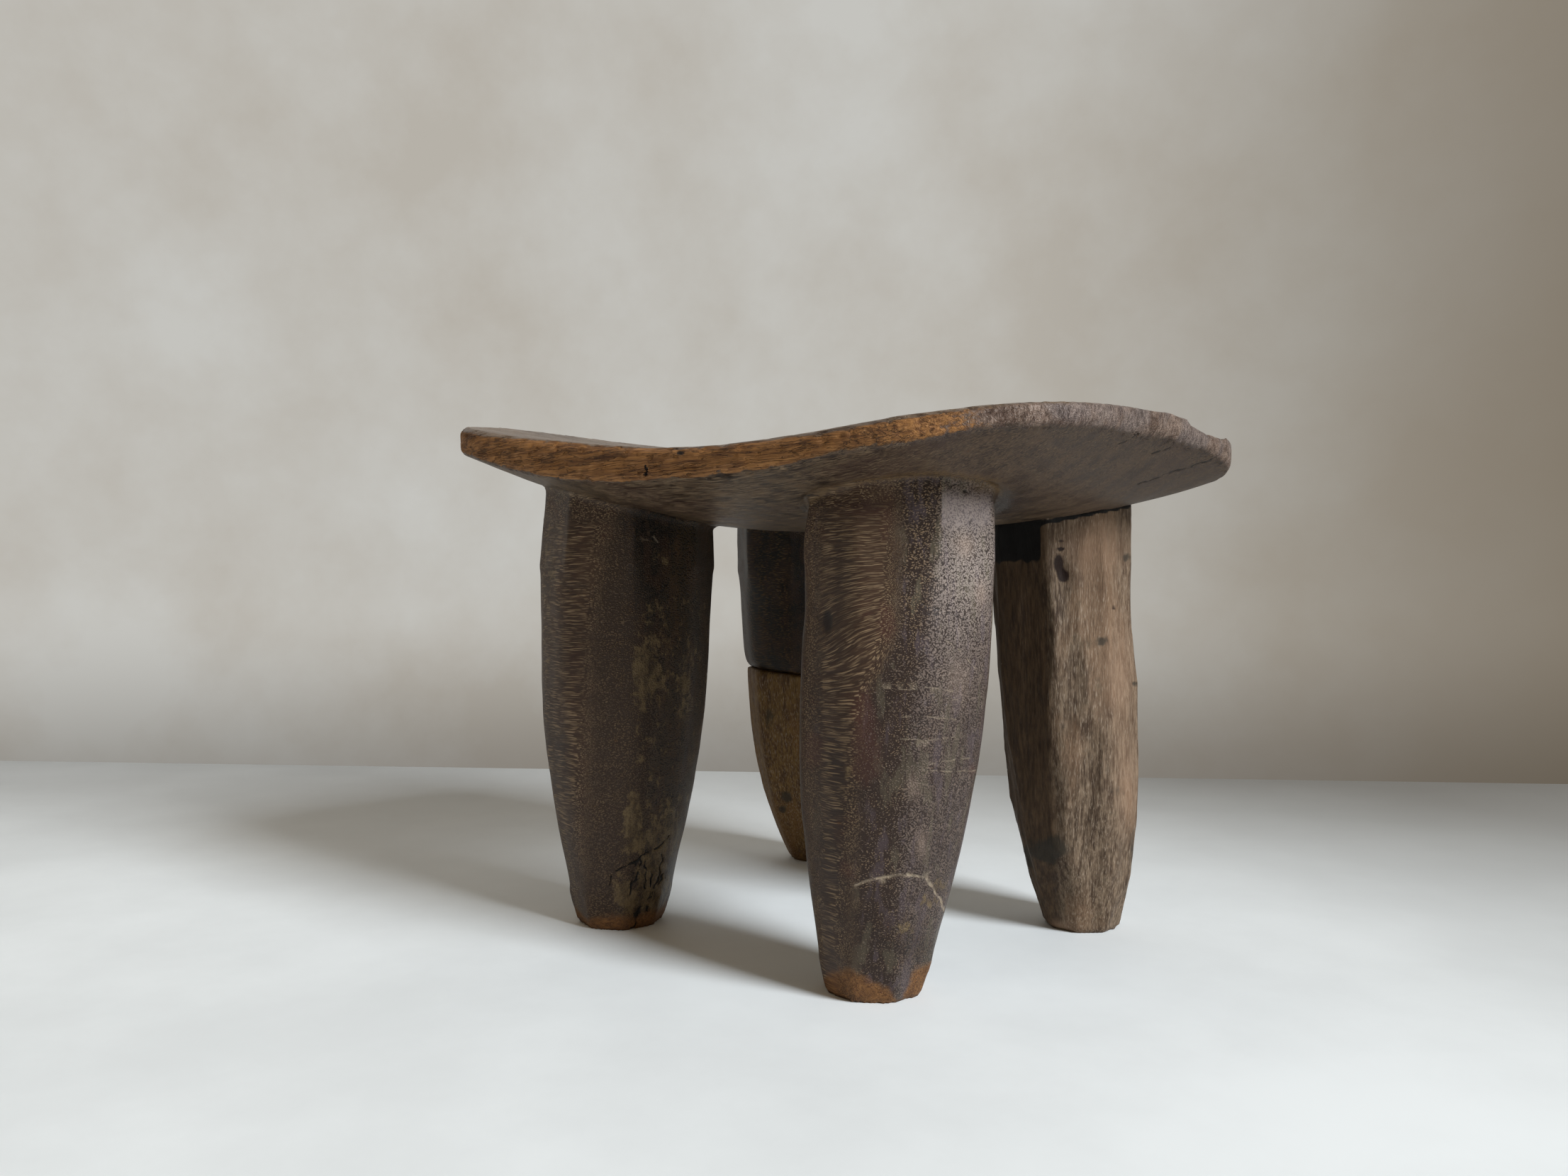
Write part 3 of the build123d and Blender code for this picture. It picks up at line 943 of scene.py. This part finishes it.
class DarkWood(Shader):
    """Old hardwood with its grain along X: pale pores show as dashes on long faces and dots on end grain."""

    def __init__(self):
        super().__init__("old_dark_wood")
        self.dotted = self.mask("dotted")
        self.end_grain = self.mask("end_grain")
        self.lilac = self.mask("lilac")
        self.smooth = self.mask("smooth")
        self.lower = self.part(self.place, "Z").step(0.240, 0.150)
        self.right_end = self.part(self.place, "X").step(0.09, 0.20)
        self.broad = self.noise((0.07, 0.05, 0.06), 4.0, 0.6)
        self.patches = self.noise((0.016, 0.010, 0.013), 4.0, 0.65)
        self.uneven = self.patches - 0.5
        self.vertical = self.noise((0.010, 0.007, 0.034), 3.0, 0.6)
        self.lay_fibres()
        self.open_pores()
        self.lay_skin()
        self.lay_bare()

    def lay_fibres(self):
        """Fibres with a gentle sway, and a rise to the right beside the knot of the front right leg."""
        sway = self.wobble((0.030, 0.016, 0.016), 2.0)
        self.jitter = self.wobble((0.007, 0.004, 0.004), 1.0)
        bend = self.add("ShaderNodeCombineXYZ", {1: self.mask("bend")}).outputs[0]
        swayed = self.vector("SUBTRACT", self.place, bend)
        swayed = self.vector("ADD", swayed, self.vector("MULTIPLY", sway, sway_reach))
        self.swayed = self.vector("ADD", swayed, self.vector("MULTIPLY", self.jitter, jitter_reach))
        from_knot = self.math("DIVIDE", self.part(self.place, "Z") - knot_height, knot_reach)
        near_knot = self.math("POWER", natural_base, from_knot * from_knot * -1.0)
        beside = (self.part(self.place, "X") - knot_x).larger(-0.02)
        rise = self.math("MINIMUM", beside, 0.05) * -knot_slope * near_knot
        risen = self.add("ShaderNodeCombineXYZ", {2: rise}).outputs[0]
        self.fibres = self.vector("ADD", self.swayed, risen)
        self.grain = self.noise((0.014, 0.0008, 0.0008), 3.0, 0.6, self.fibres)

    def open_pores(self):
        """Long pale pores, finer ones between them, and threads."""
        distance, tint = self.cells(pore_size, self.fibres)
        pores = distance.step(0.44, 0.25) * self.part(tint, 0).step(0.05, 0.50)
        distance, tint = self.cells(fine_pore_size, self.fibres)
        fine_pores = distance.step(0.44, 0.22) * self.part(tint, 0).step(0.20, 0.70)
        self.threads = self.noise(thread_size, 2.0, 0.5, self.fibres).step(0.56, 0.68)
        flecks = pores.larger(fine_pores.larger(self.threads) * 0.50)
        self.flecks = flecks * self.patches.step(0.20, 0.55) * (1 - self.dotted)

    def lay_skin(self):
        """Leathery skin over the end grain: pale cells, first small and apart, then large and close."""
        self.warped = self.vector("ADD", self.place, self.vector("MULTIPLY", self.jitter, warp_reach))
        cell, tint = self.cells(skin_cell_size, self.warped)
        reach = self.end_grain * 0.20 + self.part(tint, 1) * 0.14 - self.lower * self.lilac * 0.09
        self.skin = (cell - reach).step(0.50, 0.16)
        self.crumbs = self.noise((0.0060, 0.0045, 0.0080), 4.0, 0.7, self.warped)

    def lay_bare(self):
        """Where the wood is raw, how it splits, and the pits of its rough end grain."""
        line = self.noise((0.034, 0.0028, 0.0022), 3.0, 0.6, self.swayed)
        split = self.math("ABSOLUTE", line - 0.5).step(0.030, 0.004)
        self.splits = split * self.patches.step(0.36, 0.56) * (1 - self.dotted)
        self.streaks = self.noise((0.036, 0.0018, 0.0014), 4.0, 0.7, self.swayed)
        ragged = self.uneven + (self.streaks - 0.5)
        self.bare = (self.mask("bare_rim") + ragged).step(0.20, 0.72).larger(self.mask("worn_foot"))
        self.rim_only = self.math("SUBTRACT", self.mask("rim"), self.bare, clamp=True)
        self.tufts = self.noise((0.0016, 0.0012, 0.0030), 3.0, 0.6, self.warped)
        self.pits = self.tufts.step(0.46, 0.36)

    def long_ground(self):
        """The dark ground of faces along the grain."""
        tone = self.broad * 0.5 + self.grain * 0.5
        ground = blend(tone.step(0.38, 0.62), (40, 25, 15), (70, 50, 35))
        ground = tinted(ground, (64, 36, 28), self.patches.step(0.52, 0.72) * 0.45)
        return tinted(ground, (44, 28, 19), self.lower * 0.35)

    def end_ground(self):
        """The ground of end grain with its pale cells, lilac grey at the right and brown at the left."""
        dark = blend(self.end_grain, (40, 27, 20), (42, 32, 28))
        pale = blend(self.end_grain, (130, 109, 86), (114, 99, 89))
        pale = tinted(pale, (84, 71, 65), self.patches.step(0.58, 0.42) * 0.55)
        ground = mix(self.skin, dark, pale)
        ground = tinted(ground, (92, 80, 86), self.vertical.step(0.54, 0.62) * 0.40 * self.lilac)
        ground = tinted(ground, (112, 104, 84), self.vertical.step(0.44, 0.36) * 0.35 * self.lilac)
        ground = tinted(ground, (56, 39, 23), 0.50 - self.lilac * 0.50)
        # Painted shade: the lilac end grain darker lower down the legs, below the painted highlight
        return tinted(ground, (50, 35, 28), self.lower * self.lilac * (0.80 - self.crumbs))

    def under_ground(self):
        """The streaky underside of the seat, greyer towards the right end."""
        tone = self.grain * 0.6 + self.patches * 0.4
        ground = blend(tone.step(0.44, 0.56), (32, 20, 10), (94, 75, 55))
        ground = tinted(ground, (58, 39, 32), self.broad.step(0.50, 0.60) * 0.5)
        return tinted(ground, (72, 60, 55), self.right_end * 0.45)

    def flecked(self, ground, underside):
        """Pale pores in the ground, fewer on the underside and on the smooth facet."""
        shown = 0.85 - underside * (self.right_end * 0.35 + 0.15)
        return tinted(ground, (148, 125, 97), self.flecks * shown * (1 - self.smooth * 0.8))

    def rubbed_and_highlit(self, wood):
        """The smooth facet, a painted sheen highlight, pale patches that are partly painted highlight, and
        reddened places.
        """
        wood = tinted(wood, (138, 126, 126), self.smooth * 0.45)
        # Painted highlight: a pale glint on leg A's lit end grain, strongest on the skin cells
        painted_sheen = self.mask("painted_sheen") * self.end_grain
        wood = tinted(wood, (172, 160, 152), painted_sheen * (self.skin * 0.50 + 0.04))
        # Pale patches, the upper ones a painted highlight
        wood = tinted(wood, (168, 146, 130), self.mask("pale") * 0.50)
        red = self.mask("red")
        patchy = (red + self.uneven).step(0.25, 0.80) * 0.42 * (1 - self.flecks * 0.7)
        return tinted(wood, (74, 40, 32), patchy * red.step(0.0, 0.2))

    def sat_on(self, wood):
        """The sitting surface, with its long grain."""
        long_grain = self.noise((0.090, 0.0030, 0.010), 4.0, 0.6, self.swayed)
        tone = long_grain * 0.65 + self.broad * 0.35
        seat = blend(tone.step(0.38, 0.60), (60, 43, 32), (116, 97, 79))
        seat = tinted(seat, (44, 31, 23), self.grain.step(0.46, 0.34) * 0.45)
        seat = tinted(seat, (146, 126, 104), self.flecks * 0.45)
        return mix(self.mask("upward") * 0.92, wood, seat)

    def stained(self, wood):
        """Black stain on the stump and in places on the front legs, and painted shade under the seat beside
        leg A's top.
        """
        stain = blend((self.vertical + self.uneven).step(0.40, 0.62), (13, 8, 5), (42, 26, 16))
        shown = self.flecks.larger(self.skin * self.dotted * 0.4)
        stain = tinted(stain, (104, 80, 47), shown * 0.64)
        return mix((self.mask("dark") + self.uneven * 0.7).step(0.05, 0.85), wood, stain)

    def chipped(self, wood):
        """Tan patches where the skin has come off, and dust along the seat's junction."""
        tan = self.mask("tan")
        ragged = self.uneven * 1.1 + (self.crumbs - 0.5) * 2.4
        colour = blend(self.crumbs.step(0.36, 0.64), (66, 51, 31), (120, 101, 70))
        colour = tinted(colour, (48, 35, 20), self.grain.step(0.48, 0.38) * 0.5)
        wood = mix((tan + ragged).step(0.36, 0.74) * tan.step(0.0, 0.20) * 0.70, wood, colour)
        return tinted(wood, (118, 92, 56), self.mask("dust") * self.grain.step(0.30, 0.55) * 0.55)

    def raw_wood(self):
        """Orange wood on the long edges and under the feet, split along the grain."""
        raw = blend(self.streaks.step(0.32, 0.68), (98, 63, 35), (154, 109, 63))
        raw = tinted(raw, (76, 50, 33), self.patches.step(0.46, 0.74) * 0.45)
        raw = tinted(raw, (186, 140, 96), self.threads.step(0.3, 1.0) * 0.35)
        raw = tinted(raw, (54, 34, 20), self.splits * 0.55)
        return tinted(raw, (58, 36, 20), self.mask("worn_foot") * 0.40)

    def rough_end(self):
        """The grey, pitted end grain of the seat's edge."""
        rough = blend(self.patches.step(0.35, 0.65), (78, 58, 46), (128, 108, 95))
        rough = tinted(rough, (108, 102, 102), self.broad.step(0.48, 0.58) * 0.40)
        rough = tinted(rough, (168, 152, 140), self.tufts.step(0.54, 0.64) * 0.30)
        return tinted(rough, (52, 37, 31), self.pits * 0.40)

    def marked(self, wood):
        """Scratches, cracks and knots."""
        wood = tinted(wood, (170, 154, 132), self.mask("scratches") * 0.70)
        wood = tinted(wood, (14, 9, 6), self.mask("cracks").step(0.15, 0.75))
        return tinted(wood, (30, 19, 12), self.mask("knots").step(0.25, 0.70))

    def relief(self):
        skin_share = self.dotted * (1 - self.smooth * 0.8)
        relief = self.flecks * 0.5 + self.grain * 0.6 + self.skin * skin_share * 0.7
        return relief - self.splits * self.bare * 2.2 - self.pits * self.rim_only * 0.9

    def roughness(self):
        polished = self.end_grain.larger(self.mask("upward"))
        return (self.patches * 0.5 + self.bare * 0.5 - polished * 0.16).ramp(0.0, 1.0, 0.30, 0.85)

    def layered(self):
        """The material, with every layer over the one before."""
        underside = self.mask("underside")
        ground = mix(self.dotted, self.long_ground(), self.end_ground())
        ground = mix(underside * 0.85, ground, self.under_ground())
        wood = self.sat_on(self.rubbed_and_highlit(self.flecked(ground, underside)))
        wood = self.chipped(self.stained(wood))
        wood = mix(self.rim_only * 0.9, wood, self.rough_end())
        wood = self.marked(mix(self.bare, wood, self.raw_wood()))
        self.surface.inputs["Specular IOR Level"].default_value = 0.26
        return self.finish(wood, self.roughness(), self.bump(self.relief(), 0.00045, 1.0))


def upright_wood(name, dark, light, warm, shade):
    """Repair timber with its grain up and down."""
    s = Shader(name)
    broad = s.noise((0.030, 0.030, 0.090), 3.0, 0.6)
    patches = s.noise((0.010, 0.010, 0.016), 4.0, 0.65)
    grain = s.noise((0.0020, 0.0020, 0.016), 4.0, 0.65)
    fibres = s.noise((0.0007, 0.0007, 0.006), 2.0, 0.6)
    wood = blend((grain * 0.6 + patches * 0.4).step(0.38, 0.64), dark, light)
    wood = tinted(wood, warm, broad.step(0.46, 0.62) * 0.6)
    wood = tinted(wood, shade, patches.step(0.58, 0.72) * 0.45)
    wood = tinted(wood, (158, 142, 124), fibres.step(0.55, 0.66) * 0.45)
    wood = tinted(wood, (36, 25, 16), fibres.step(0.45, 0.34) * 0.42)
    shaded = blend(grain.step(0.3, 0.7), (44, 29, 16), (76, 56, 34))
    wood = mix(s.mask("shaded") * 0.85, wood, shaded)
    wood = tinted(wood, (152, 122, 98), s.mask("warm") * 0.50)
    stains = s.mask("stains")
    share = (stains + (patches - 0.5) * 1.6).step(0.25, 0.70) * stains.step(0.0, 0.2)
    wood = tinted(wood, (40, 37, 30), share * 0.80)
    # The black patch, and painted shade along the joint under the seat
    wood = tinted(wood, (11, 8, 6), s.mask("black").step(0.3, 0.7))
    wood = tinted(wood, (34, 20, 13), s.mask("knots").step(0.25, 0.6))
    s.surface.inputs["Specular IOR Level"].default_value = 0.25
    return s.finish(wood, patches.ramp(0.2, 0.8, 0.50, 0.82), s.bump(grain + fibres * 0.5, 0.0006, 0.8))


def plain_wood(name, dark, light):
    s = Shader(name)
    grain = s.noise((0.0022, 0.0022, 0.05), 4.0, 0.6)
    colour = blend(grain.step(0.35, 0.65), dark, light)
    return s.finish(colour, grain.step(-1.0, 1.4), s.bump(grain, 0.0005, 0.6))


def plaster(name, colour, variation, shades):
    """Painted plaster; each shade darkens it along a direction, from one distance to another."""
    s = Shader(name)
    cloud = s.noise((0.25, 0.25, 0.25), 6.0, 0.6)
    light = tuple(min(c * (1 + variation), 1) for c in colour[:3]) + (1,)
    dark = tuple(c * (1 - variation) for c in colour[:3]) + (1,)
    paint = mix(cloud.step(0.3, 0.7), dark, light)
    for way, near, far, depth in shades:
        paint = mix(s.along(way, near, far, depth), paint, shade_colour)
    return s.finish(paint, cloud.step(-3, 3))


def flat_panel(name, corners, material):
    mesh = bpy.data.meshes.new(name)
    mesh.from_pydata([tuple(c) for c in corners], [], [(0, 1, 2, 3)])
    panel = bpy.data.objects.new(name, mesh)
    bpy.context.scene.collection.objects.link(panel)
    mesh.materials.append(material)
    return panel


def floor_and_wall():
    """A floor, and at its end a wall that only throws back light: the camera doesn't see it."""
    left_end = camera_place + ahead * wall_left_distance - right * wall_left_span
    right_end = camera_place + ahead * wall_right_distance + right * wall_right_span
    left_end.z = right_end.z = 0
    run = (right_end - left_end).normalized()
    left_end -= run * floor_reach
    right_end += run * floor_reach
    forward = ahead * 2 * floor_reach
    top = up * wall_height
    floor_paint = plaster("floor_plaster", floor_colour, 0.05, floor_shades)
    flat_panel("floor", [left_end - forward, right_end - forward, right_end, left_end], floor_paint)
    wall_paint = plaster("wall_plaster", wall_colour, 0.06, wall_shades)
    wall = flat_panel("wall", [left_end, right_end, right_end + top, left_end + top], wall_paint)
    wall.visible_camera = False


def window_light():
    """A tall window to the right of the camera."""
    window = bpy.data.lights.new("window", "AREA")
    window.shape = "RECTANGLE"
    window.size = window_width
    window.size_y = window_height
    window.energy = window_power
    window.color = window_colour
    lamp = bpy.data.objects.new("window", window)
    lamp.location = stool_middle + window_way.normalized() * window_distance
    lamp.rotation_euler = window_way.to_track_quat("Z", "Y").to_euler()
    bpy.context.scene.collection.objects.link(lamp)


def room():
    """Warm light from every side, and a pale wall as the camera sees it, with painted shade to the right and
    below.
    """
    world = bpy.data.worlds.new("room")
    world.use_nodes = True
    light = world.node_tree.nodes["Background"]
    light.inputs["Color"].default_value = room_light
    light.inputs["Strength"].default_value = room_strength
    n = Nodes(world.node_tree, "Generated")
    cloud = n.noise((0.2, 0.2, 0.2), 6.0, 0.6).ramp(0.34, 0.66)
    paint = blend(cloud, (182, 177, 168), (196, 195, 190))
    # Painted shade: the backdrop darker to the right, where the window's light falls off
    wall = tinted(paint, (124, 114, 99), n.along(right, 0.10, 0.66, 1.0))
    wall = mix(n.along(right, 0.62, 0.85, 1.0), wall, paint)
    # Painted shade: the backdrop darker near the floor
    wall = tinted(wall, (60, 50, 38), n.along(-up, 0.01, 0.17, 0.55))
    backdrop = n.add("ShaderNodeBackground", {"Color": wall, "Strength": 1.0}).outputs[0]
    path = n.add("ShaderNodeLightPath").outputs
    seen = n.math("MAXIMUM", path["Is Camera Ray"], path["Is Glossy Ray"])
    seen = seen.larger(path["Is Transmission Ray"])
    both = n.add("ShaderNodeMixShader", {0: seen, 1: light.outputs[0], 2: backdrop}).outputs[0]
    n.tree.links.new(both, n.tree.nodes["World Output"].inputs["Surface"])
    bpy.context.scene.world = world


def aim_camera():
    camera_data = bpy.data.cameras.new("camera")
    camera_data.sensor_width = sensor_width
    camera_data.lens = sensor_width * focal_pixels / photo_width
    camera = bpy.data.objects.new("camera", camera_data)
    camera.location = camera_place
    camera.rotation_euler = (radians(90), 0, camera_heading)
    bpy.context.scene.collection.objects.link(camera)
    bpy.context.scene.camera = camera


block = carved_block()
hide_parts("carved_body")
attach(block, "root")
block.data.materials.append(DarkWood().layered())

new_leg = replaced_leg()
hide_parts("replacement_leg")
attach(new_leg, "root")
new_leg.data.materials.append(
    upright_wood("pinkish_wood", (60, 44, 30), (120, 102, 83), warm=(116, 91, 69), shade=(54, 49, 38))
)

new_end = spliced_end()
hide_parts("leg_end")
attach(new_end, "root")
new_end.data.materials.append(
    upright_wood("tan_wood", (74, 50, 24), (120, 92, 50), warm=(110, 78, 38), shade=(52, 38, 20))
)

wedge_wood = plain_wood("wedge_wood", dark=(120, 92, 60), light=(160, 130, 92))
for wedge in ("replacement_leg_wedge", "leg_end_wedge"):
    nodes[wedge].data.materials.clear()
    nodes[wedge].data.materials.append(wedge_wood)

floor_and_wall()
window_light()
room()
aim_camera()
bpy.context.scene.view_settings.view_transform = "Standard"
